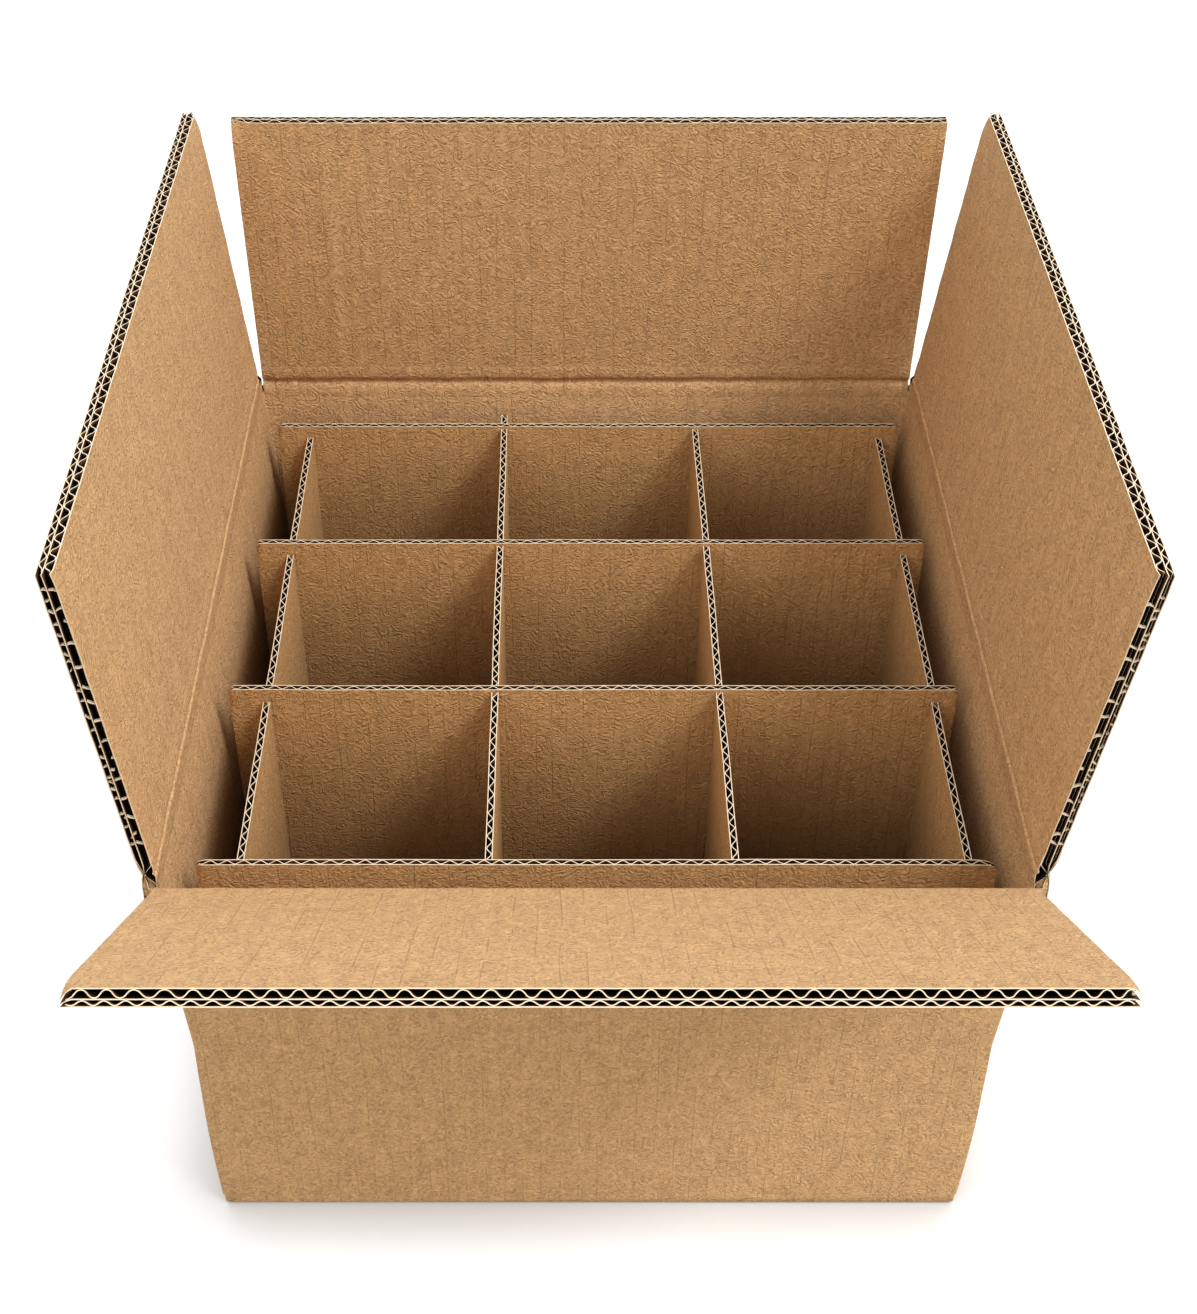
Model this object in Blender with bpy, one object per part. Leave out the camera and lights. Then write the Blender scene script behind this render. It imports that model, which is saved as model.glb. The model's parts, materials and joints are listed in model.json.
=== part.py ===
"""A corrugated shipping box for nine bottles: a folded case, its four open top flaps and a slotted partition.

Metres, +Z up. The origin is the middle of the case's underside, +X is to the right and the front faces -Y.
"""

import math

import bmesh
import bpy
from mathutils import Vector

# Case: outside sizes at the base, and the height to the top of the closed front and back flaps.
case_width = 0.329
case_depth = 0.340
case_height = 0.216
corner_radius = 0.0015
corner_steps = 2

# The walls lean out near the rim, where the open flaps have pulled them, and the end walls lean further.
side_flare = 0.0070
end_flare = 0.0090
flare_height = 0.130
flare_steps = 4

# Double-wall board, from the outside in: liner, small flutes, liner, large flutes, liner.
liner = 0.0004
small_flute = 0.0020
large_flute = 0.0030
small_pitch = 0.0070
large_pitch = 0.0082
medium = 0.0005
board = 3 * liner + small_flute + large_flute

# Single-wall board of the partition.
sheet = 0.0030
sheet_pitch = 0.0076

# Top flaps: length from the crease, play beside a closed flap, and how far each leans out of upright.
# The side flaps stop short of the back flap, which leans in.
flap_length = 0.145
flap_play = 0.0004
side_flap_front_play = 0.0008
side_flap_back_play = 0.0075
stack_gap = 0.0004
front_lean = 54.3
back_lean = -2.6
left_lean = 5.6
right_lean = 6.5

# Creases: the scored board is crushed to an edge near its outer face, so that a flap folds in flat and out to
# the widest lean. A slot parts the flaps at each corner, and goes down past the creases.
crease_depth = 0.0020
slot_depth = 0.0080
cut_margin = 0.0010
widest_lean = 150.0
crease_gap = 0.0002
fold_in_slack = 3.0
fold_out_slack = 1.5

# Bottom: two outer flaps, folded in from the front and the back, that meet at a seam. Above them lie two
# inner ones that leave a gap, and all are glued.
bottom_edge = 0.0015
outer_flap_inset = 0.0006
bottom_seam = 0.0010
seam_shift = 0.0020
floor_gap = 0.0100

# Glued joint of the blank: a lap on the outside of the back wall, at its left end.
lap_width = 0.038
lap_thickness = 0.0025
lap_margin = 0.024
lap_taper = 0.008

# Partition: long sheets from left to right and cross sheets from front to back, with a free strip along each
# wall. The inner sheets stand a little to the back, or to the right, of even spacing.
front_strip = 0.0150
back_strip = 0.0133
left_strip = 0.0185
right_strip = 0.0103
row_shifts = (0.0017, 0.0040)
column_shifts = (0.0025, 0.0031)
long_height = 0.1898
inner_cross_drop = 0.0010
outer_cross_drop = 0.0065
end_play = 0.0005
long_sheet_short = 0.0020
seat_gap = 0.0003
slot_play = 0.0004
slot_gap = 0.0006
sheet_corner = 0.0020
flute_share = 0.42

# The tabs of the cross sheets outside the first and last long sheets are cut lower.
front_tab_drop = 0.0120
back_tab_drops = (0.0030, 0.0, 0.0100, 0.0030)

# Worked out from the sizes above.
rim_width = case_width + 2 * side_flare
rim_depth = case_depth + 2 * end_flare
floor_top = 2 * board
inner_width = case_width - 2 * board
inner_depth = case_depth - 2 * board
low_axis = case_height - crease_depth
high_axis = case_height + stack_gap + board - crease_depth
flare_start = case_height - board - flare_height
end_flap_width = rim_width - 2 * board - 2 * flap_play
in_slope = math.tan(math.radians(45 + fold_in_slack))
out_slope = math.tan(math.radians(widest_lean / 2 + fold_out_slack))


def clear_scene():
    for old in list(bpy.data.objects):
        bpy.data.objects.remove(old)


def paper(name, colour, roughness):
    material = bpy.data.materials.new(name)
    material.use_nodes = True
    shader = material.node_tree.nodes["Principled BSDF"]
    shader.inputs["Base Color"].default_value = (*colour, 1)
    shader.inputs["Roughness"].default_value = roughness
    shader.inputs["Metallic"].default_value = 0
    return material


def place(name, bm, material=None, parent=None):
    """Makes the mesh an object of the scene, with all of its faces turned outwards."""
    bmesh.ops.recalc_face_normals(bm, faces=bm.faces)
    mesh = bpy.data.meshes.new(name)
    bm.to_mesh(mesh)
    bm.free()
    obj = bpy.data.objects.new(name, mesh)
    bpy.context.scene.collection.objects.link(obj)
    obj.parent = parent
    if material:
        mesh.materials.append(material)
    return obj


def combine(target, bm, operation, name):
    """Cuts a helper solid from the target, or joins it on."""
    helper = place(name, bm)
    helper.hide_render = True
    helper.display_type = "WIRE"
    boolean = target.modifiers.new(name, "BOOLEAN")
    boolean.operation = operation
    boolean.object = helper
    boolean.solver = "EXACT"


def extruded(outline, start, end, along):
    """A prism: the outline, in the two axes other than along, swept from start to end."""
    bm = bmesh.new()

    def point(a, b, c):
        return {"X": (c, a, b), "Y": (a, c, b), "Z": (a, b, c)}[along]

    first = [bm.verts.new(point(a, b, start)) for a, b in outline]
    last = [bm.verts.new(point(a, b, end)) for a, b in outline]
    bm.faces.new(first)
    bm.faces.new(last)
    for i in range(len(outline)):
        j = (i + 1) % len(outline)
        bm.faces.new((first[i], first[j], last[j], last[i]))
    return bm


def block(low, high):
    (x0, y0, z0), (x1, y1, z1) = low, high
    return extruded(((x0, y0), (x1, y0), (x1, y1), (x0, y1)), z0, z1, "Z")


def flare_at(z):
    """How far the side walls and the end walls have moved out at this height."""
    share = min(1.0, max(0.0, (z - flare_start) / flare_height))
    return side_flare * share**2, end_flare * share**2


def ring(half_x, half_y, radius, z):
    """A rounded rectangle round the case's axis."""
    points = []
    for corner, (sx, sy) in enumerate(((1, 1), (-1, 1), (-1, -1), (1, -1))):
        for step in range(corner_steps + 1):
            turn = math.radians(90 * (corner + step / corner_steps))
            x = sx * (half_x - radius) + radius * math.cos(turn)
            y = sy * (half_y - radius) + radius * math.sin(turn)
            points.append(Vector((x, y, z)))
    return points


def loft(rings):
    """Joins rings of equal count into one closed skin, with both ends capped."""
    bm = bmesh.new()
    loops = [[bm.verts.new(point) for point in points] for points in rings]
    for lower, upper in zip(loops, loops[1:]):
        for i in range(len(lower)):
            j = (i + 1) % len(lower)
            bm.faces.new((lower[i], lower[j], upper[j], upper[i]))
    bm.faces.new(loops[0])
    bm.faces.new(loops[-1])
    return bm


def flute_cells(start, end, low, high, pitch):
    """The mouths of a row of flutes: triangles that point up and down between two liners."""
    count = max(1, round((end - start) / pitch))
    step = (end - start) / count
    wall = medium * math.hypot(step / 2, high - low) / (high - low)
    tip = (high - low) * wall / step
    cells = []
    for i in range(count):
        left = start + i * step
        right = left + step
        cells.append(((left + wall / 2, low), (right - wall / 2, low), ((left + right) / 2, high - tip)))
        if i:
            middle = (left + right) / 2
            cells.append(((middle - step + wall / 2, high), (middle - wall / 2, high), (left, low + tip)))
    return cells


def edge_between(bm, a, b):
    return bm.edges.get((a, b)) or bm.edges.new((a, b))


def fluted_edge(bm, corners, cells, z, run):
    """Fills a cut edge, pierced by flutes that narrow down to a point, where the board is crushed."""
    edges = [edge_between(bm, a, b) for a, b in zip(corners, corners[1:] + corners[:1])]
    for cell in cells:
        mouth = [bm.verts.new((x, y, z)) for x, y in cell]
        middle_x = sum(x for x, _ in cell) / 3
        middle_y = sum(y for _, y in cell) / 3
        bottom = bm.verts.new((middle_x, middle_y, z - run))
        for a, b in zip(mouth, mouth[1:] + mouth[:1]):
            edges.append(edge_between(bm, a, b))
            bm.faces.new((a, b, bottom))
    bmesh.ops.triangle_fill(bm, edges=edges, use_beauty=False, use_dissolve=False, normal=(0, 0, 1))


def crease_cut():
    """The space above a wall's crushed crease, seen along its hinge at 0, 0. The first axis is inwards."""
    out = crease_depth + cut_margin
    inward = board - crease_depth + cut_margin
    rise = 2 * board
    tip_out = crease_gap / out_slope
    tip_in = crease_gap / in_slope
    return (
        (-out, -crease_gap - (out - tip_out) * out_slope),
        (-tip_out, -crease_gap),
        (tip_in, -crease_gap),
        (inward, -crease_gap - (inward - tip_in) * in_slope),
        (inward, rise),
        (-out, rise),
    )


def make_case(material):
    half_x = case_width / 2
    half_y = case_depth / 2
    outside = [
        ring(half_x - outer_flap_inset, half_y - bottom_edge, corner_radius, 0),
        ring(half_x - outer_flap_inset, half_y, corner_radius, bottom_edge),
        ring(half_x - outer_flap_inset, half_y, corner_radius, board),
        ring(half_x, half_y, corner_radius, board + outer_flap_inset),
    ]
    inside = [ring(half_x - board, half_y - board, corner_radius / 4, floor_top)]
    flare_levels = [flare_start + flare_height * step / flare_steps for step in range(flare_steps + 1)]
    for z in (*flare_levels, high_axis):
        out_x, out_y = flare_at(z)
        outside.append(ring(half_x + out_x, half_y + out_y, corner_radius, z))
        inside.append(ring(half_x + out_x - board, half_y + out_y - board, corner_radius / 4, z))
    case = place("case", loft(outside + inside[::-1]), material)

    # The creases, and the slots that part the flaps at the corners.
    profile = crease_cut()
    reach_x = rim_width / 2 - crease_depth
    reach_y = rim_depth / 2 - crease_depth
    for name, sign in (("front", -1), ("back", 1)):
        outline = [(sign * (reach_y - inward), low_axis + z) for inward, z in profile]
        combine(case, extruded(outline, -rim_width, rim_width, "X"), "DIFFERENCE", f"{name}_crease")
    for name, sign in (("left", -1), ("right", 1)):
        outline = [(sign * (reach_x - inward), high_axis + z) for inward, z in profile]
        combine(case, extruded(outline, -rim_depth, rim_depth, "Y"), "DIFFERENCE", f"{name}_crease")
    slot_x = end_flap_width / 2
    slot_y = rim_depth / 2 - board - flap_play
    for side_name, side in (("left", -1), ("right", 1)):
        for end_name, end in (("front", -1), ("back", 1)):
            near = (side * slot_x, end * slot_y, case_height - slot_depth)
            far = (side * rim_width, end * rim_depth, case_height + 2 * board)
            combine(case, block(near, far), "DIFFERENCE", f"{side_name}_{end_name}_slot")

    # The seam between the two outer bottom flaps, and the gap that the inner pair leaves on the floor.
    seam = block(
        (-case_width, seam_shift - bottom_seam / 2, -board), (case_width, seam_shift + bottom_seam / 2, board)
    )
    combine(case, seam, "DIFFERENCE", "bottom_seam")
    trench = block(
        (-floor_gap / 2, -inner_depth / 2, board), (floor_gap / 2, inner_depth / 2, floor_top + board)
    )
    combine(case, trench, "DIFFERENCE", "floor_gap")

    # The glued lap, its two ends cut at a slant.
    lap = bmesh.new()
    loops = []
    left = -half_x + corner_radius
    levels = (
        (lap_margin, lap_width - lap_taper),
        (lap_margin + lap_taper, lap_width),
        *((z, lap_width) for z in flare_levels[:-1]),
        (case_height - lap_margin - lap_taper, lap_width),
        (case_height - lap_margin, lap_width - lap_taper),
    )
    for z, width in levels:
        back = half_y + flare_at(z)[1]
        corners = ((left, back - board / 2), (left + width, back - board / 2))
        corners += ((left + width, back + lap_thickness), (left, back + lap_thickness))
        loops.append([lap.verts.new((x, y, z)) for x, y in corners])
    for lower, upper in zip(loops, loops[1:]):
        for i in range(4):
            j = (i + 1) % 4
            lap.faces.new((lower[i], lower[j], upper[j], upper[i]))
    lap.faces.new(loops[0])
    lap.faces.new(loops[-1])
    combine(case, lap, "UNION", "glued_lap")
    return case


def make_flap(name, width, lean, hinge_at, turn, material):
    """A top flap on its hinge line. Its X runs along the crease, +Y faces inwards, and +Z is its length."""
    hinge = bpy.data.objects.new(f"{name}_hinge", None)
    bpy.context.scene.collection.objects.link(hinge)
    hinge.location = hinge_at
    hinge.rotation_euler = (0, 0, math.radians(turn))

    inner = board - crease_depth
    outer = -crease_depth
    tip_out = crease_gap / out_slope
    tip_in = crease_gap / in_slope
    profile = (
        (-tip_out, crease_gap),
        (tip_in, crease_gap),
        (inner, inner * in_slope),
        (inner, flap_length),
        (outer, flap_length),
        (outer, -outer * out_slope),
    )
    bm = bmesh.new()
    left = [bm.verts.new((-width / 2, y, z)) for y, z in profile]
    right = [bm.verts.new((width / 2, y, z)) for y, z in profile]
    bm.faces.new(left)
    bm.faces.new(right)
    cut_edge = 3
    for i in range(len(profile)):
        j = (i + 1) % len(profile)
        if i != cut_edge:
            bm.faces.new((left[i], left[j], right[j], right[i]))
    small_low = outer + liner
    small_high = small_low + small_flute
    large_low = small_high + liner
    start, end = -width / 2 + medium, width / 2 - medium
    cells = flute_cells(start, end, small_low, small_high, small_pitch)
    cells += flute_cells(start, end, large_low, large_low + large_flute, large_pitch)
    corners = [left[cut_edge], right[cut_edge], right[cut_edge + 1], left[cut_edge + 1]]
    crushed = -outer * out_slope
    fluted_edge(bm, corners, cells, flap_length, flap_length - crushed)
    flap = place(name, bm, material, hinge)
    flap.rotation_euler = (math.radians(lean), 0, 0)
    return flap


def make_sheet(name, length, height, slots, from_top, tab_drops, location, turn, material):
    """A partition sheet: slots cut up from its foot, or down from its top. Its own X is its length."""
    half = length / 2
    slot_half = sheet / 2 + slot_play
    first_top, last_top = (height - drop for drop in tab_drops)
    outline = [(-half, 0)]
    if not from_top:
        for at, depth in slots:
            outline += [(at - slot_half, 0), (at - slot_half, depth)]
            outline += [(at + slot_half, depth), (at + slot_half, 0)]
    outline += [(half, 0), (half, last_top - sheet_corner), (half - sheet_corner, last_top)]
    if from_top:
        tops = [first_top, *[height] * (len(slots) - 1), last_top]
        for number, (at, depth) in reversed(list(enumerate(slots))):
            outline += [(at + slot_half, tops[number + 1]), (at + slot_half, height - depth)]
            outline += [(at - slot_half, height - depth), (at - slot_half, tops[number])]
    outline += [(-half + sheet_corner, first_top), (-half, first_top - sheet_corner)]

    bm = bmesh.new()
    front = [bm.verts.new((x, -sheet / 2, z)) for x, z in outline]
    back = [bm.verts.new((x, sheet / 2, z)) for x, z in outline]
    bm.faces.new(front)
    bm.faces.new(back)
    count = len(outline)
    for i in range(count):
        j = (i + 1) % count
        (x0, z0), (x1, z1) = outline[i], outline[j]
        if z0 == z1 and z0 in (height, first_top, last_top):
            cells = flute_cells(x1 + medium, x0 - medium, liner - sheet / 2, sheet / 2 - liner, sheet_pitch)
            fluted_edge(bm, [front[j], front[i], back[i], back[j]], cells, z0, flute_share * height)
        else:
            bm.faces.new((front[i], front[j], back[j], back[i]))
    obj = place(name, bm, material)
    obj.location = location
    obj.rotation_euler = (0, 0, math.radians(turn))
    return obj


def spaced(first, last, shifts):
    """Places from first to last at even steps, with the ones between them shifted."""
    step = (last - first) / (len(shifts) + 1)
    between = [first + i * step + shift for i, shift in enumerate(shifts, 1)]
    return [first, *between, last]


def make_partition(material):
    floor_z = floor_top + seat_gap
    rows = spaced(front_strip - inner_depth / 2, inner_depth / 2 - back_strip, row_shifts)
    columns = spaced(left_strip - inner_width / 2, inner_width / 2 - right_strip, column_shifts)
    drops = (outer_cross_drop, inner_cross_drop, inner_cross_drop, outer_cross_drop)
    long_length = inner_width - 2 * end_play - long_sheet_short
    long_x = long_sheet_short / 2
    cross_length = inner_depth - 2 * end_play
    for number, y in enumerate(rows, 1):
        slots = [(x - long_x, long_height / 2 + slot_gap / 2) for x in columns]
        name = f"long_divider_{number}"
        make_sheet(name, long_length, long_height, slots, False, (0, 0), (long_x, y, floor_z), 0, material)
    for number, (x, drop, back_tab_drop) in enumerate(zip(columns, drops, back_tab_drops), 1):
        height = long_height - drop
        slots = [(y, height - long_height / 2 + slot_gap / 2) for y in rows]
        tab_drops = (front_tab_drop, back_tab_drop)
        name = f"cross_divider_{number}"
        make_sheet(name, cross_length, height, slots, True, tab_drops, (x, 0, floor_z), 90, material)


def make_box():
    clear_scene()
    kraft = paper("kraft_board", (0.52, 0.34, 0.18), 0.85)
    partition_kraft = paper("partition_board", (0.42, 0.27, 0.14), 0.88)
    make_case(kraft)
    hinge_x = rim_width / 2 - crease_depth
    hinge_y = rim_depth / 2 - crease_depth
    make_flap("front_flap", end_flap_width, front_lean, (0, -hinge_y, low_axis), 0, kraft)
    make_flap("back_flap", end_flap_width, back_lean, (0, hinge_y, low_axis), 180, kraft)

    # The side flaps reach from just inside the front wall to the back flap.
    front_end = board + side_flap_front_play - rim_depth / 2
    back_end = rim_depth / 2 - board - side_flap_back_play
    side_flap_width = back_end - front_end
    middle = (front_end + back_end) / 2
    make_flap("left_flap", side_flap_width, left_lean, (-hinge_x, middle, high_axis), -90, kraft)
    make_flap("right_flap", side_flap_width, right_lean, (hinge_x, middle, high_axis), 90, kraft)
    make_partition(partition_kraft)


make_box()
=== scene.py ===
"""A corrugated bottle shipping box: a double-wall case with four open top flaps, and a slotted partition."""

import json
import math

import bmesh
import bpy
import numpy as np
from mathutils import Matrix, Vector


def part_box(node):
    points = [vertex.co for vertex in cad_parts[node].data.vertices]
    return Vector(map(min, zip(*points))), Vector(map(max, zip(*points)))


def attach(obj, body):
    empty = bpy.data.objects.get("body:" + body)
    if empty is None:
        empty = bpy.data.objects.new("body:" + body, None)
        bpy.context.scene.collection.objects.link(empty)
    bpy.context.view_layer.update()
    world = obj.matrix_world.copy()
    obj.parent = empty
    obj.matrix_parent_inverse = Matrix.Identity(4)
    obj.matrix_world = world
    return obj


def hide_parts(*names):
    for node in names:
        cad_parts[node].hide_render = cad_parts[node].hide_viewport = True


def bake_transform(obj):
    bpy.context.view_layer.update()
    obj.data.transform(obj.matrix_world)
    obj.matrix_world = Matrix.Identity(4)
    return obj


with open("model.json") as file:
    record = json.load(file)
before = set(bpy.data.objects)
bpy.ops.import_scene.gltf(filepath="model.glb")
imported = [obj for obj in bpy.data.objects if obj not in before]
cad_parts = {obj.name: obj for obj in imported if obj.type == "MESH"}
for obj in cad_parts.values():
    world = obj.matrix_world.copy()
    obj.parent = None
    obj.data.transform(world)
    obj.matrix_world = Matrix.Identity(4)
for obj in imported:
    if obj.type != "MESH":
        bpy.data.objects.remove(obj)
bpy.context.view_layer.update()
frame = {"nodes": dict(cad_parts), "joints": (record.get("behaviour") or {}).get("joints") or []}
joints = {joint["name"]: joint for joint in frame["joints"]}

# The studio: a white table under a soft key lamp, high on the right and a little in front, and a weak fill
# lamp on the left, in a room that is cooler and brighter above and behind than in front. The camera stands in
# front of the box and looks down.
photo_height_px = 1314
photo_middle_px = 598.5
focal_px = 1955
optical_axis_px = 557.6
camera_place = (-0.0144, -0.670, 0.766)
camera_tilt_deg = 48.75
key_lamp = ("key_lamp", 2.15, 20, (0.510, -0.275, 0.815))
fill_lamp = ("fill_lamp", 0.5, 50, (-0.45, -0.50, 0.74))
bright_side = (0.25, 0.55, 0.80)
front_light = (0.68, 0.605, 0.505, 1)
back_light = (0.98, 0.99, 1.02, 1)

camera = bpy.data.objects.new("camera", bpy.data.cameras.new("camera"))
bpy.context.scene.collection.objects.link(camera)
bpy.context.scene.camera = camera
camera.location = camera_place
camera.rotation_euler = (math.radians(camera_tilt_deg), 0, 0)
camera.data.sensor_width = 36
camera.data.lens = camera.data.sensor_width * focal_px / photo_height_px
camera.data.shift_x = (photo_middle_px - optical_axis_px) / photo_height_px
camera.data.clip_start = 0.05

bpy.context.scene.view_settings.view_transform = "Standard"


def shader_node(tree, kind, settings=(), **inputs):
    """Adds a node, sets what is named in settings, and sets or joins its inputs."""
    added = tree.nodes.new(kind)
    for name, value in dict(settings).items():
        setattr(added, name, value)
    for name, value in inputs.items():
        place = int(name[3:]) if name.startswith("in_") else name.replace("_", " ")
        if isinstance(value, bpy.types.NodeSocket):
            tree.links.new(value, added.inputs[place])
        else:
            added.inputs[place].default_value = value
    return added


def empty_material(name):
    material = bpy.data.materials.new(name)
    material.use_nodes = True
    material.node_tree.nodes.clear()
    return material


for name, energy, spread_deg, towards in (key_lamp, fill_lamp):
    lamp = bpy.data.objects.new(name, bpy.data.lights.new(name, "SUN"))
    lamp.data.energy = energy
    lamp.data.angle = math.radians(spread_deg)
    lamp.rotation_euler = Vector(towards).to_track_quat("Z", "Y").to_euler()
    bpy.context.scene.collection.objects.link(lamp)

world = bpy.data.worlds.new("studio")
bpy.context.scene.world = world
world.use_nodes = True
world.node_tree.nodes.clear()
seen = shader_node(world.node_tree, "ShaderNodeLightPath")
direction = shader_node(world.node_tree, "ShaderNodeTexCoord").outputs["Generated"]
facing = shader_node(
    world.node_tree, "ShaderNodeVectorMath", {"operation": "DOT_PRODUCT"}, in_0=direction, in_1=bright_side
)
share = shader_node(
    world.node_tree, "ShaderNodeMapRange", {"clamp": True}, Value=facing.outputs["Value"], in_1=-0.5, in_2=0.8
)
daylight = shader_node(
    world.node_tree, "ShaderNodeMix", {"data_type": "RGBA"}, in_0=share.outputs[0], in_6=front_light,
    in_7=back_light,
).outputs[2]
room = shader_node(world.node_tree, "ShaderNodeBackground", Color=daylight, Strength=1.0)
backdrop = shader_node(world.node_tree, "ShaderNodeBackground", Color=(1, 1, 1, 1), Strength=1.0)
either = shader_node(
    world.node_tree, "ShaderNodeMixShader", in_0=seen.outputs["Is Camera Ray"], in_1=room.outputs[0],
    in_2=backdrop.outputs[0],
)
shader_node(world.node_tree, "ShaderNodeOutputWorld", Surface=either.outputs[0])

# The table is white paper, lifted where the camera sees it, so that only the foot of the box darkens it: the
# lift fades where the box closes in the table, a painted shadow.
table_colour = (0.47, 0.445, 0.405, 1)
lift_colour = (0.95, 1.0, 1.07, 1)
full_lift = 0.68
shadow_reach = 0.035
shadow_power = 1.6
table_height = -0.0004

table = empty_material("table_white")
seen = shader_node(table.node_tree, "ShaderNodeLightPath")
paper_white = shader_node(table.node_tree, "ShaderNodeBsdfDiffuse", Color=table_colour)
# Painted shadow: the lift fades near the box's foot, as the box shuts out the room within shadow_reach.
nearness = shader_node(table.node_tree, "ShaderNodeAmbientOcclusion", {"samples": 3}, Distance=shadow_reach)
open_share = shader_node(
    table.node_tree, "ShaderNodeMath", {"operation": "POWER"}, in_0=nearness.outputs["AO"], in_1=shadow_power
)
seen_share = shader_node(
    table.node_tree, "ShaderNodeMath", {"operation": "MULTIPLY"}, in_0=seen.outputs["Is Camera Ray"],
    in_1=open_share.outputs[0],
)
lift = shader_node(
    table.node_tree, "ShaderNodeMath", {"operation": "MULTIPLY"}, in_0=seen_share.outputs[0], in_1=full_lift
)
glow = shader_node(table.node_tree, "ShaderNodeEmission", Color=lift_colour, Strength=lift.outputs[0])
total = shader_node(table.node_tree, "ShaderNodeAddShader", in_0=paper_white.outputs[0], in_1=glow.outputs[0])
shader_node(table.node_tree, "ShaderNodeOutputMaterial", Surface=total.outputs[0])
bpy.ops.mesh.primitive_plane_add(size=30, location=(0, 0, table_height))
floor = bpy.context.object
floor.name = "table_top"
floor.data.materials.append(table)

# The case: one sheet of double-wall kraft board, folded round, lapped and glued behind, closed at the bottom.
# It keeps the frame's solid, cut into a fine grid so that the walls can wander, bulge and show the glued lap.
# The walls lean out towards the rim, and at the corners slots are cut between the flaps, down to slot_foot.
large_pitch = 0.0082
small_pitch = 0.0068
liner_tone = (0.61, 0.383, 0.189)
grid_step = 0.008
wall_wander = 0.0002
rim_fade = 0.03
wall_zone = 0.02
wall_fade = 0.01
side_bulge = 0.0016
bulge_height = 0.115
lean_foot = 0.0798
lean_height = 0.130
side_lean = 0.0070
end_lean = 0.0090
inside_past_face = 0.0045
inside_above = 0.008
case_mouth = 0.0032
lap_edge_x = -0.1245
ridge_height = 0.0005
ridge_width = 0.0030
ridge_step = 0.0015
ridge_steps = np.arange(-4, 5)
ridge_low = 0.02
ridge_high = 0.203
slot_foot = 0.2079
slot_side_x = 0.16485
slot_end_y = 0.17235

case_low, case_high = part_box("case")


def wander(value, seed, wavelength):
    """A smooth curve through value that never repeats within the box, between about -1 and 1."""
    turns = 2 * math.pi * np.asarray(value) / wavelength
    waves = ((1.0, 0.0), (0.61, 1.3), (0.37, 2.9))
    return sum(share * np.sin(turns * (1.0 + 0.77 * at) + seed * (1.7 + at)) for share, at in waves) / 1.6


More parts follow.
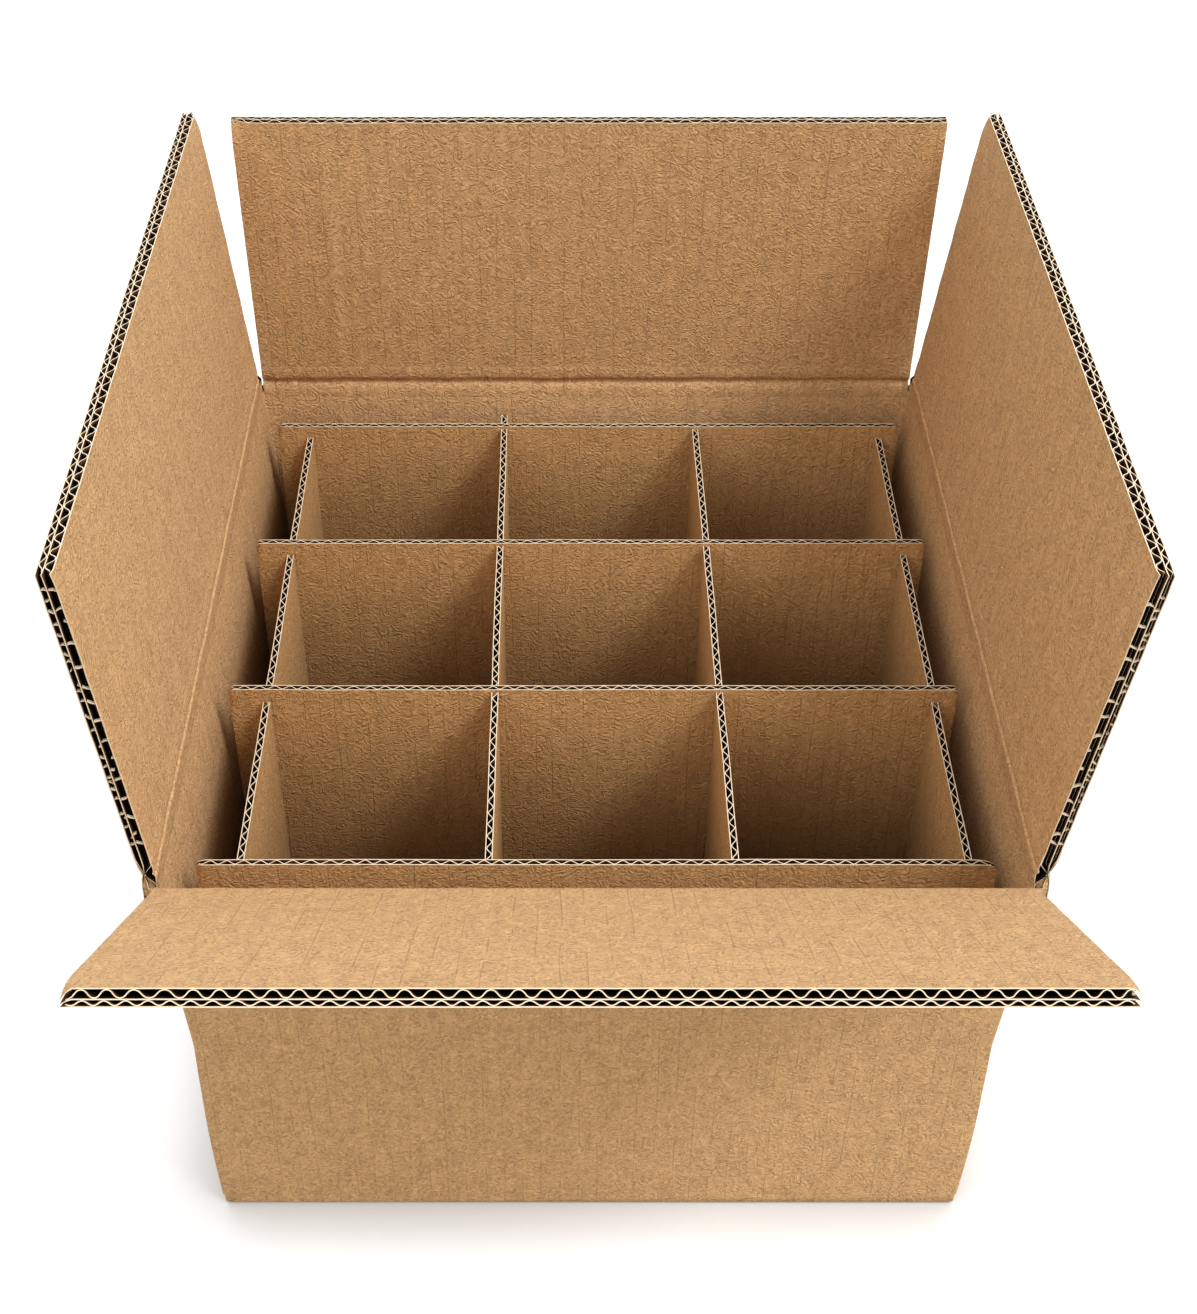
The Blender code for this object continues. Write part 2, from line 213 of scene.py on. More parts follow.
def kraft(name, tone, pitch, flute_shading_strength):
    """Brown paper over flutes: mottled colour, bent ripples, flecks, a broken painted shade and highlight
    over each flute, and painted shade deep in the box.
    """
    material = empty_material(name)
    tree = material.node_tree
    across = shader_node(tree, "ShaderNodeAttribute", {"attribute_name": "across"}).outputs["Fac"]
    down = shader_node(tree, "ShaderNodeAttribute", {"attribute_name": "down"}).outputs["Fac"]
    depth = shader_node(tree, "ShaderNodeAttribute", {"attribute_name": "depth"}).outputs["Fac"]
    spot = shader_node(tree, "ShaderNodeTexCoord").outputs["Object"]

    def math_node(operation, first, second=0.0, third=0.0):
        settings = {"operation": operation}
        return shader_node(tree, "ShaderNodeMath", settings, in_0=first, in_1=second, in_2=third).outputs[0]

    def moved(x, y, z):
        """The same place in the paper, shifted, so that two noises don't fall on each other."""
        added = shader_node(tree, "ShaderNodeVectorMath", {"operation": "ADD"}, in_0=spot, in_1=(x, y, z))
        return added.outputs[0]

    def noise(vector, scale, detail, rough=0.55):
        made = shader_node(
            tree, "ShaderNodeTexNoise", Vector=vector, Scale=scale, Detail=detail, Roughness=rough
        )
        return made.outputs["Fac"]

    def ramp(value, low, high, first=0.0, last=1.0):
        made = shader_node(tree, "ShaderNodeMapRange", {"clamp": True}, Value=value)
        for place, number in ((1, low), (2, high), (3, first), (4, last)):
            made.inputs[place].default_value = number
        return made.outputs[0]

    def mixed(share, first, second):
        made = shader_node(tree, "ShaderNodeMix", {"data_type": "RGBA"}, in_0=share)
        for place, tint in ((6, first), (7, second)):
            if isinstance(tint, bpy.types.NodeSocket):
                tree.links.new(tint, made.inputs[place])
            else:
                made.inputs[place].default_value = (*tint, 1)
        return made.outputs[2]

    def line_at(value, middle, width):
        """1 along the line where value is middle, and 0 from width off it."""
        return ramp(math_node("ABSOLUTE", math_node("SUBTRACT", value, middle)), 0.0, width, 1.0, 0.0)

    def ripples(shift, size):
        """Short bent ripples, from -1 to 1: eight contour lines of a noise, broken up by another."""
        turns = math_node("MULTIPLY", noise(moved(*shift), size, 1.0), 2 * math.pi * 8)
        spread = ramp(noise(moved(*shift[::-1]), 1.9 * size, 0.0), 0.36, 0.58)
        return math_node("MULTIPLY", math_node("SINE", turns), spread)

    fine_ripples = ripples((0.31, 0.12, 0.77), 210.0)
    coarse_ripples = ripples((1.13, 0.58, 0.24), 110.0)
    ripple = math_node("MULTIPLY_ADD", coarse_ripples, 0.7, fine_ripples)
    dark_strokes = ramp(ripple, -0.35, -1.0)
    pale_strokes = ramp(ripple, 0.35, 1.0)
    mottle = noise(spot, 130.0, 2.0, 0.6)
    grain = noise(spot, 820.0, 1.0, 0.7)

    # Along a flute everything is drawn out, so that the lines break into dashes: painted shade, each with a
    # painted highlight on its lit side.
    lane = shader_node(tree, "ShaderNodeCombineXYZ", X=across, Y=math_node("MULTIPLY", down, 0.24)).outputs[0]
    streak = noise(lane, 210.0, 1.0, 0.5)
    shift = math_node("MULTIPLY", noise(lane, 70.0, 0.0), 0.0022)
    phase = math_node("DIVIDE", math_node("ADD", across, shift), pitch)
    place = math_node("FRACT", phase)
    broken = ramp(noise(lane, 130.0, 1.0, 0.7), 0.42, 0.56)
    crease = math_node("MULTIPLY", line_at(place, 0.5, 0.045), broken)
    lit_side = math_node("MULTIPLY", line_at(place, 0.58, 0.05), broken)
    wave = math_node("SINE", math_node("MULTIPLY", phase, 2 * math.pi))

    flecks = shader_node(
        tree, "ShaderNodeTexVoronoi", {"feature": "F1"}, Vector=spot, Scale=130.0, Randomness=1.0
    )
    fleck = ramp(flecks.outputs["Distance"], 0.04, 0.085, 1.0, 0.0)
    fleck = math_node("MULTIPLY", fleck, math_node("GREATER_THAN", noise(spot, 61.0, 0.0), 0.55))

    level = math_node("ADD", math_node("MULTIPLY", mottle, 0.28), math_node("MULTIPLY", grain, 0.72))
    level = math_node("ADD", level, math_node("MULTIPLY", math_node("SUBTRACT", streak, 0.5), 0.30))
    dull = tuple(0.80 * part for part in tone)
    pale = tuple(1.15 * part for part in tone)
    bright = tuple(min(1.0, 1.42 * part) for part in tone)
    dark = (tone[0] * 0.40, tone[1] * 0.33, tone[2] * 0.27)
    painted_shade_tone = (tone[0] * 0.30, tone[1] * 0.25, tone[2] * 0.20)
    colour = mixed(ramp(level, 0.33, 0.67), dull, pale)
    # Painted highlight beside each flute's line, mixed in with the pale strokes.
    lit_side = math_node("MULTIPLY", lit_side, 0.8 * flute_shading_strength)
    light = math_node("MAXIMUM", math_node("MULTIPLY", pale_strokes, 0.50), lit_side)
    colour = mixed(light, colour, bright)
    # Dark marks: dark strokes, the painted shade along each flute's line, and flecks.
    marks = math_node("MULTIPLY", dark_strokes, 0.36)
    marks = math_node("MAXIMUM", marks, math_node("MULTIPLY", crease, 1.6 * flute_shading_strength))
    marks = math_node("MAXIMUM", marks, math_node("MULTIPLY", fleck, 0.60))
    colour = mixed(marks, colour, dark)
    # Painted shade: the deeper a point lies inside the box, the nearer the paper comes to a near-black brown.
    colour = mixed(ramp(depth, 0.015, 0.120, 0.0, 0.75), colour, painted_shade_tone)

    height = math_node("MULTIPLY", wave, 0.16)
    height = math_node("MULTIPLY_ADD", ripple, 0.40, height)
    height = math_node("MULTIPLY_ADD", crease, -0.6, height)
    height = math_node("MULTIPLY_ADD", noise(spot, 560.0, 1.0, 0.65), 0.5, height)
    relief = shader_node(tree, "ShaderNodeBump", Strength=0.8, Distance=0.0004, Height=height)
    surface = shader_node(
        tree, "ShaderNodeBsdfPrincipled", Base_Color=colour, Roughness=0.82, Normal=relief.outputs[0]
    )
    surface.inputs["Specular IOR Level"].default_value = 0.14
    shader_node(tree, "ShaderNodeOutputMaterial", Surface=surface.outputs[0])
    return material


def lap_ridge(x):
    """The raised line inside the back wall and its flap, along the edge of the glued lap behind them."""
    return ridge_height * np.exp(-(((np.asarray(x) - lap_edge_x) / ridge_width) ** 2))


def bowed(points):
    """Moves points of the case: the walls wander in and out, and the side walls bulge near their feet."""
    x, y, z = points.T
    height = np.clip(z / case_high.z, 0, 1)
    side = np.clip((np.abs(x) - (case_high.x - wall_zone)) / wall_fade, 0, 1)
    end = np.clip((np.abs(y) - (case_high.y - wall_zone)) / wall_fade, 0, 1)
    below_rim = np.clip((case_high.z - z) / rim_fade, 0, 1)
    swell = height * (1 - height) * 4 * below_rim
    x = x - np.sign(x) * side * swell * wall_wander * (1 + wander(y, 1 + np.sign(x), 0.21))
    y = y - np.sign(y) * end * swell * wall_wander * (1 + wander(x, 4 + np.sign(y), 0.23))
    x = x + np.sign(x) * side * side_bulge * np.sin(math.pi * np.clip(z / bulge_height, 0, 1))
    along_ridge = np.clip((z - ridge_low) / 0.02, 0, 1) * np.clip((ridge_high - z) / 0.010, 0, 1)
    y = y - np.where(y > 0, end * lap_ridge(x) * along_ridge, 0)
    return np.stack([x, y, z], axis=1)


bm = bmesh.new()
bm.from_mesh(frame["nodes"]["case"].data)
bmesh.ops.remove_doubles(bm, verts=bm.verts, dist=1e-6)
for axis in range(3):
    low, high = case_low[axis], case_high[axis]
    cuts = [low + step * grid_step for step in range(1, int((high - low) / grid_step))]
    if axis == 0:
        cuts += list(lap_edge_x + ridge_step * ridge_steps)
    for cut in cuts:
        at = Vector((0, 0, 0))
        at[axis] = cut
        normal = Vector((0, 0, 0))
        normal[axis] = 1
        everything = bm.verts[:] + bm.edges[:] + bm.faces[:]
        bmesh.ops.bisect_plane(bm, geom=everything, plane_co=at, plane_no=normal, dist=1e-6)
case_mesh = bpy.data.meshes.new("case_board")
bm.to_mesh(case_mesh)
bm.free()
points = np.empty(len(case_mesh.vertices) * 3)
case_mesh.vertices.foreach_get("co", points)
points = points.reshape(-1, 3)
down = case_high.z - points[:, 2]
lean_share = np.clip((points[:, 2] - lean_foot) / lean_height, 0, 1) ** 2
inner_x = case_high.x - side_lean * (1 - lean_share) - inside_past_face
inner_y = case_high.y - end_lean * (1 - lean_share) - inside_past_face
between_walls = (np.abs(points[:, 0]) < inner_x) & (np.abs(points[:, 1]) < inner_y)
inside = between_walls & (points[:, 2] > inside_above)
on_side = np.repeat(
    [abs(face.normal.x) > abs(face.normal.y) for face in case_mesh.polygons],
    [face.loop_total for face in case_mesh.polygons],
)
corner_points = points[[loop.vertex_index for loop in case_mesh.loops]]
across = np.where(on_side, corner_points[:, 1], corner_points[:, 0])
case_mesh.attributes.new("across", "FLOAT", "CORNER").data.foreach_set("value", across.astype(np.float32))
# depth drives the painted shade inside the case: how far a point lies below the rim, and 0 outside.
notes = {"down": down, "depth": np.where(inside, down, 0), "mouth": np.full(len(down), case_mouth)}
for name, values in notes.items():
    case_mesh.attributes.new(name, "FLOAT", "POINT").data.foreach_set("value", values.astype(np.float32))
case_mesh.vertices.foreach_set("co", bowed(points).ravel())
case_mesh.shade_smooth()
case_mesh.set_sharp_from_angle(angle=math.radians(35))
kraft_liner = kraft("kraft_liner", liner_tone, large_pitch, 0.20)
case_mesh.materials.append(kraft_liner)
case_board = bpy.data.objects.new("case_board", case_mesh)
bpy.context.scene.collection.objects.link(case_board)
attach(case_board, "carton")
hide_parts("case")


def flute_inside(name, mouth_shade_colour, deep_shade_colour, depth):
    """The paper inside the flutes as painted shade: warm brown near the cut edge, and almost black further
    in.
    """
    material = empty_material(name)
    tree = material.node_tree
    mouth = shader_node(tree, "ShaderNodeAttribute", {"attribute_name": "mouth"}).outputs["Fac"]
    spot = shader_node(tree, "ShaderNodeTexCoord").outputs["Object"]
    patch = shader_node(tree, "ShaderNodeTexNoise", Vector=spot, Scale=300.0, Detail=2.0).outputs["Fac"]
    uneven = shader_node(
        tree, "ShaderNodeMath", {"operation": "MULTIPLY_ADD"}, in_0=patch, in_1=0.003, in_2=mouth
    )
    share = shader_node(
        tree, "ShaderNodeMapRange", {"clamp": True}, Value=uneven.outputs[0], in_1=0.0012, in_2=depth
    )
    tint = shader_node(
        tree, "ShaderNodeMix", {"data_type": "RGBA"}, in_0=share.outputs[0], in_6=(*mouth_shade_colour, 1),
        in_7=(*deep_shade_colour, 1),
    )
    surface = shader_node(tree, "ShaderNodeBsdfPrincipled", Base_Color=tint.outputs[2], Roughness=0.95)
    surface.inputs["Specular IOR Level"].default_value = 0.1
    shader_node(tree, "ShaderNodeOutputMaterial", Surface=surface.outputs[0])
    return material


# Where the case is cut for its slots and creases the layers are dark between their edges: painted shade.
inside_flutes = flute_inside("flute_hollow_shade", (0.17, 0.078, 0.026), (0.008, 0.004, 0.002), 0.0030)
case_mesh.materials.append(inside_flutes)
centres = np.array([face.center for face in case_mesh.polygons])
normals = np.array([face.normal for face in case_mesh.polygons])
in_slot = (np.abs(centres[:, 0]) > slot_side_x) & (np.abs(centres[:, 1]) > slot_end_y)
is_cut = (centres[:, 2] > slot_foot) & (in_slot | (np.abs(normals[:, 2]) > 0.2))
case_mesh.polygons.foreach_set("material_index", is_cut.astype(np.int32))

# The top flaps go on from the walls in the same board: three liners with two layers of flutes glued between.
# Their cut edges show the layers, pale at the cut and painted with shade inside, and at the crease the board
# is crushed.
# The faces are measured through the board from the hinge line, inwards.
flap_length = 0.145
flute_points = 14
tip_gap = 0.0002
outer_face = -0.0020
middle_face = 0.0008
inner_face = 0.0042
pinched_end = 0.0035
inner_pinch = 0.00012
outer_pinch = 0.00010
outer_pinch_from = 0.0003
fold_in_slope = math.tan(math.radians(48))
fold_out_slope = math.tan(math.radians(76.5))
widest_lean_deg = 150.0

FACE, HOLLOW, CUT = 0, 1, 2


def cut_paper(name, colour):
    """The cut edge of a sheet: pale, a little furry, and never quite even."""
    material = empty_material(name)
    tree = material.node_tree
    spot = shader_node(tree, "ShaderNodeTexCoord").outputs["Object"]
    fuzz = shader_node(tree, "ShaderNodeTexNoise", Vector=spot, Scale=700.0, Detail=2.0, Roughness=0.6)
    dull = tuple(0.84 * part for part in colour)
    tint = shader_node(
        tree, "ShaderNodeMix", {"data_type": "RGBA"}, in_0=fuzz.outputs["Fac"], in_6=(*dull, 1),
        in_7=(*colour, 1),
    )
    relief = shader_node(tree, "ShaderNodeBump", Strength=0.3, Distance=0.0002, Height=fuzz.outputs["Fac"])
    surface = shader_node(
        tree, "ShaderNodeBsdfPrincipled", Base_Color=tint.outputs[2], Roughness=0.9, Normal=relief.outputs[0]
    )
    shader_node(tree, "ShaderNodeOutputMaterial", Surface=surface.outputs[0])
    return material


cut_edge = cut_paper("cut_liner", (0.89, 0.745, 0.545))


class Board:
    """The sheets of paper that make one piece, gathered before they become its mesh."""

    def __init__(self):
        self.points = []
        self.notes = []
        self.faces = []
        self.finishes = []
        self.count = 0

    def sheet(self, front, back, notes, present, front_finish, back_finish):
        """One sheet of paper on a grid: its two sides, and its cut edge all round, also round each hole."""
        rows, columns = front.shape[:2]
        first = np.arange(rows * columns).reshape(rows, columns) + self.count
        second = first + rows * columns
        self.points += [front.reshape(-1, 3), back.reshape(-1, 3)]
        self.notes += [notes.reshape(-1, 4)] * 2
        self.count += 2 * rows * columns

        def corners(index):
            return np.stack([index[:-1, :-1], index[1:, :-1], index[1:, 1:], index[:-1, 1:]], axis=-1)

        def add(quads, finish):
            self.faces.append(quads)
            self.finishes.append(np.full(len(quads), finish))

        add(corners(first)[present], front_finish)
        add(corners(second)[present][:, ::-1], back_finish)
        around = np.pad(present, 1)
        near, far = corners(first), corners(second)
        sides = (
            (around[:-2, 1:-1], 3, 0),
            (around[2:, 1:-1], 1, 2),
            (around[1:-1, :-2], 0, 1),
            (around[1:-1, 2:], 2, 3),
        )
        for neighbour, start, end in sides:
            open_side = present & ~neighbour
            quads = np.stack([near[..., end], near[..., start], far[..., start], far[..., end]], axis=-1)
            add(quads[open_side], CUT)

    def make(self, name, materials):
        """Makes the object, without the points that no face uses."""
        points = np.concatenate(self.points)
        notes = np.concatenate(self.notes)
        faces = np.concatenate(self.faces)
        finishes = np.concatenate(self.finishes)
        used, faces = np.unique(faces, return_inverse=True)
        faces = faces.reshape(-1, 4)
        mesh = bpy.data.meshes.new(name)
        mesh.from_pydata(points[used].tolist(), [], faces.tolist())
        for column, label in enumerate(("across", "down", "mouth", "depth")):
            values = notes[used, column].astype(np.float32)
            mesh.attributes.new(label, "FLOAT", "POINT").data.foreach_set("value", values)
        mesh.polygons.foreach_set("material_index", finishes.astype(np.int32))
        for material in materials:
            mesh.materials.append(material)
        bm = bmesh.new()
        bm.from_mesh(mesh)
        bmesh.ops.recalc_face_normals(bm, faces=bm.faces)
        bm.to_mesh(mesh)
        bm.free()
        mesh.shade_smooth()
        mesh.set_sharp_from_angle(angle=math.radians(40))
        made = bpy.data.objects.new(name, mesh)
        bpy.context.scene.collection.objects.link(made)
        return made


def flute_line(across, pitch, start, flatness):
    """The rise and fall of the fluted paper, from -1 to 1: straight legs, and crests that are glued flat."""
    leg = 2 / math.pi * np.arcsin(np.sin(2 * math.pi * (across - start) / pitch))
    return np.tanh(flatness * leg) / math.tanh(flatness)


def present_faces(acrosses, downs, gone):
    """Which faces of a sheet's grid are there. gone says which places are cut away."""
    middle_u = (acrosses[1:] + acrosses[:-1]) / 2
    middle_w = (downs[1:] + downs[:-1]) / 2
    u, w = np.meshgrid(middle_u, middle_w, indexing="ij")
    return np.ones(u.shape, bool) if gone is None else ~gone(u, w)


def add_liner(board, low, high, acrosses, downs, shape, front_finish, back_finish, gone=None):
    """A flat sheet of the board, from low to high through its thickness."""
    u, w = np.meshgrid(acrosses, downs, indexing="ij")
    present = present_faces(acrosses, downs, gone)
    front, notes = shape(u, np.full_like(u, low), w)
    back, _ = shape(u, np.full_like(u, high), w)
    board.sheet(front, back, notes, present, front_finish, back_finish)


def add_flutes(board, low, high, medium, pitch, start, flatness, ends, downs, shape, gone=None, edges=()):
    """The fluted sheet between two liners."""
    count = int(round((ends[1] - ends[0]) / pitch * flute_points))
    acrosses = np.unique(np.concatenate([np.linspace(ends[0], ends[1], count + 1), np.array(edges)]))
    u, w = np.meshgrid(acrosses, downs, indexing="ij")
    present = present_faces(acrosses, downs, gone)
    loose = u + 0.0009 * wander(u, pitch * 900, 0.09)
    swing = (high - low - medium) / 2
    tall = swing * (1 + 0.03 * wander(u, pitch * 500, 0.031))
    centre = (low + high) / 2
    step = pitch / 200
    level = centre + tall * flute_line(loose, pitch, start, flatness)
    rise = flute_line(loose + step, pitch, start, flatness) - flute_line(loose - step, pitch, start, flatness)
    slope = tall * rise / (2 * step)
    length = np.sqrt(1 + slope**2)
    tilt = medium / 2 * slope / length
    lift = medium / 2 / length
    front, notes = shape(u + tilt, np.clip(level - lift, low, high), w)
    back, _ = shape(u - tilt, np.clip(level + lift, low, high), w)
    board.sheet(front, back, notes, present, HOLLOW, HOLLOW)


def flap_frame(side):
    """The middle of a flap's hinge, the directions along, into and up the board, its lean and half width."""
    joint = joints[f"{side}_fold"]
    lean = math.radians(widest_lean_deg - joint["range_deg"][1])
    along_crease = Vector(joint["axis"])
    upright = Vector((0, 0, 1))
    inward = upright.cross(along_crease)
    through = inward * math.cos(lean) + upright * math.sin(lean)
    up = upright * math.cos(lean) - inward * math.sin(lean)
    low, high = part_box(f"{side}_flap")
    hinge = Vector(joint["pos_m"])
    hinge += (((low + high) / 2 - hinge).dot(along_crease)) * along_crease
    half = abs((high - low).dot(along_crease)) / 2
    return np.array(hinge), np.array(along_crease), np.array(through), np.array(up), lean, half


def graded(low, high, count, power=1.0):
    """count numbers from low to high, which start closer together when power is above 1."""
    return low + (high - low) * np.linspace(0, 1, count) ** power


def layers_of(liner):
    """Where the layers begin and end through the board, from its outer face inwards."""
    return {
        "outer_liner": (outer_face, outer_face + liner),
        "small_flutes": (outer_face + liner, middle_face - liner),
        "middle_liner": (middle_face - liner, middle_face),
        "large_flutes": (middle_face, inner_face - liner),
        "inner_liner": (inner_face - liner, inner_face),
    }


def add_torn_bits(board, low, high, half, spacing, shape, seed):
    """Scraps of fluted paper that bridge a channel at a flap's side edges, where the cut runs along it."""
    chance = np.random.default_rng(seed)
    for sign in (-1, 1):
        place = 0.016
        while place < flap_length - 0.004:
            reach = chance.choice((1.0, 1.0, 1.0, 0.45))
            flip = chance.integers(2)
            slant = chance.uniform(-0.0016, 0.0016)
            bulge = chance.uniform(-0.0007, 0.0007)
            share, depth = np.meshgrid(np.linspace(0, reach, 5), (0.0001, 0.0012), indexing="ij")
            u = sign * (half - depth - chance.uniform(0.0001, 0.0005))
            w = place + slant * (share - 0.5) + bulge * np.sin(math.pi * share)
            y = low + (high - low) * (1 - share if flip else share)
            front, notes = shape(u, y, w)
            back, _ = shape(u, y, w + chance.uniform(0.0004, 0.0006))
            board.sheet(front, back, notes, np.ones((4, 1), bool), CUT, CUT)
            place += spacing * chance.uniform(0.55, 1.5)


def make_flap(side, liner, medium, crushed_ends, drawn_in, seed):
    """One top flap. crushed_ends gives, for its two ends, how long and how far the free corner is crushed.

    drawn_in gives how far each free corner stands back along the crease from a square cut.
    """
    hinge, along_crease, through, up, lean, half = flap_frame(side)
    layers = layers_of(liner)

    def inwards(y):
        """0 at the middle face, and 1 at the inner one."""
        return np.clip((y - middle_face) / (inner_face - middle_face), 0, 1)

    def shape(u, y, w):
        mouth = np.minimum(flap_length - w, half - np.abs(u))
        notes = np.stack([u, flap_length - w, mouth, np.zeros(u.shape)], axis=-1)
        if side == "back":
            y = y + lap_ridge(-u) * inwards(y) * np.clip((w - 0.010) / 0.008, 0, 1)
        near_end = np.clip(1 - (half - np.abs(u)) / pinched_end, 0, 1) ** 1.5
        outwards = np.clip((outer_pinch_from - y) / (outer_pinch_from - outer_face), 0, 1)
        inner_pull = inwards(y) * inner_pinch * (1 + wander(w, seed, 0.031))
        outer_pull = outwards * outer_pinch * (1 + wander(w, seed + 3, 0.027))
        y = y + near_end * (outer_pull - inner_pull)
        inner = np.clip((w - tip_gap) / fold_in_slope / inner_face, 0.02, 1)
        outer = np.clip((w - tip_gap) / fold_out_slope / -outer_face, 0.02, 1)
        y = y * np.where(y > 0, inner, outer)
        near_top = np.clip((w - (flap_length - 0.012)) / 0.012, 0, 1) ** 2
        for sign, (reach, thin) in zip((-1, 1), crushed_ends):
            into = np.clip(1 - (half - sign * u) / reach, 0, 1)
            crush = 1 - (1 - thin) * into**1.6 * near_top
            y = outer_face + (y - outer_face) * crush
        u = u - np.sign(u) * near_end * 0.00004 * (1 + wander(w, seed + 5, 0.016))
        u = u * (1 - np.where(u < 0, *drawn_in) / half * np.clip(w / flap_length, 0, 1))
        trim = 0.00012 * (1 + wander(u, seed, 0.037)) * (w / flap_length)
        point = hinge + u[..., None] * along_crease + y[..., None] * through + (w - trim)[..., None] * up
        return point, notes

    board = Board()
    fold_rows = np.array([tip_gap, 0.0016, 0.0032, 0.00486, 0.0067, 0.00853, 0.0125])
    top_rows = flap_length - graded(0.011, 0, 6)
    downs = np.concatenate([fold_rows, graded(0.018, flap_length - 0.014, 30), top_rows])
    flute_downs = np.concatenate([fold_rows, graded(0.040, flap_length - 0.018, 3), top_rows])
    middle = graded(-half + 0.018, half - 0.018, 60)
    if side == "back":
        middle = np.unique(np.concatenate([middle, -lap_edge_x + ridge_step * ridge_steps]))
    end_columns = graded(0, 0.012, 8, 1.4)
    acrosses = np.concatenate([-half + end_columns, middle, (half - end_columns)[::-1]])
    add_liner(board, *layers["outer_liner"], acrosses, downs, shape, FACE, HOLLOW)
    add_liner(board, *layers["middle_liner"], acrosses, downs, shape, HOLLOW, HOLLOW)
    add_liner(board, *layers["inner_liner"], acrosses, downs, shape, HOLLOW, FACE)
    ends = (-half + 0.0017, half - 0.0019)
    small, large = layers["small_flutes"], layers["large_flutes"]
    add_flutes(board, *small, medium, small_pitch, 0.001 * seed, 1.5, ends, flute_downs, shape)
    add_flutes(board, *large, medium, large_pitch, 0.0013 * seed, 2.0, ends, flute_downs, shape)
    add_torn_bits(board, *small, half, 0.0050, shape, seed)
    add_torn_bits(board, *large, half, 0.0075, shape, seed + 20)
    flap = board.make(f"{side}_flap_board", (kraft_liner, inside_flutes, cut_edge))
    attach(flap, side)
    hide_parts(f"{side}_flap")


make_flap("front", 0.00043, 0.0004, ((0.004, 0.4), (0.003, 0.75)), (0.0001, 0.0030), 3)
make_flap("back", 0.00036, 0.00032, ((0.004, 0.8), (0.010, 0.4)), (0.0, 0.0), 5)
make_flap("left", 0.00040, 0.00034, ((0.006, 0.6), (0.003, 0.9)), (0.0, 0.0), 8)
make_flap("right", 0.00040, 0.00034, ((0.003, 0.9), (0.006, 0.6)), (0.0, 0.0), 11)

# The creases: the liners run on unbroken from each wall to its flap, pressed into a groove inside.
# Each strip bends between the wall and the flap, and its edges sink into their faces.
# A profile's points are in millimetres: through the board from the hinge line, inwards, and up from it.
upright_groove = (
    (4.00, -10.0), (4.25, -9.0), (4.25, -5.0), (4.12, -3.6), (3.60, -2.0), (2.80, -0.9), (2.15, -0.2),
    (1.90, 0.25), (2.10, 0.55), (3.20, 0.9), (4.00, 1.7), (4.24, 3.4), (4.25, 9.0), (4.00, 10.0),
)
side_groove = (
    (4.00, -10.0), (4.24, -9.0), (4.24, -6.5), (4.25, -4.4), (4.34, -2.8), (4.43, -1.5), (4.38, -0.6),
    (4.16, -0.1), (3.75, 0.12), (3.60, 0.35), (3.76, 0.7), (4.06, 1.3), (4.22, 2.6), (4.25, 9.0),
    (4.00, 10.0),
)
stretched_groove = (
    (4.00, -7.5), (4.25, -6.5), (4.22, -4.4), (3.95, -2.6), (3.45, -1.2), (3.05, -0.3), (2.90, 0.5),
    (3.05, 1.3), (3.45, 2.4), (3.95, 3.7), (4.22, 5.2), (4.25, 8.0), (4.25, 9.0), (4.00, 10.0),
)
outer_fold = (
    (-1.80, -14.0), (-2.06, -13.0), (-2.04, -8.4), (-1.75, -5.2), (-1.30, -2.6), (-0.85, -1.0), (-0.70, 0.0),
    (-0.85, 1.0), (-1.30, 2.6), (-1.75, 5.2), (-2.04, 8.4), (-2.06, 13.0), (-1.80, 14.0),
)
bend_half = 0.0035
loose_half = 0.0055
straight_below = 0.0042
end_wall_slope = 0.121
case_liner = 0.00045
side_wall_end = 0.1716
wall_edge_end = 0.17248


def add_wall_edges(board, hinge, inward):
    """The liners' pale cut edges at the two ends of a side wall, from the slot's foot up to the crease."""
    down = np.array((-0.0085, -0.0070, -0.0060, -0.0047, -0.0034, -0.0020, -0.0006))
    layers = layers_of(case_liner)
    for end in (-1, 1):
        for name in ("middle_liner", "inner_liner"):
            sides = []
            for level in layers[name]:
                reach = fold_in_slope * inner_face if level > 0 else -fold_out_slope * outer_face
                pinch = np.clip(-down / reach, 0, 1)
                column = hinge + (level * pinch)[:, None] * inward + down[:, None] * np.array((0, 0, 1))
                pair = np.stack([column, column], axis=0)
                pair[0, :, 1] = end * side_wall_end
                pair[1, :, 1] = end * wall_edge_end
                sides.append(pair)
            notes = np.full((2, len(down), 4), 0.003)
            board.sheet(sides[0], sides[1], notes, np.ones((1, len(down) - 1), bool), HOLLOW, HOLLOW)


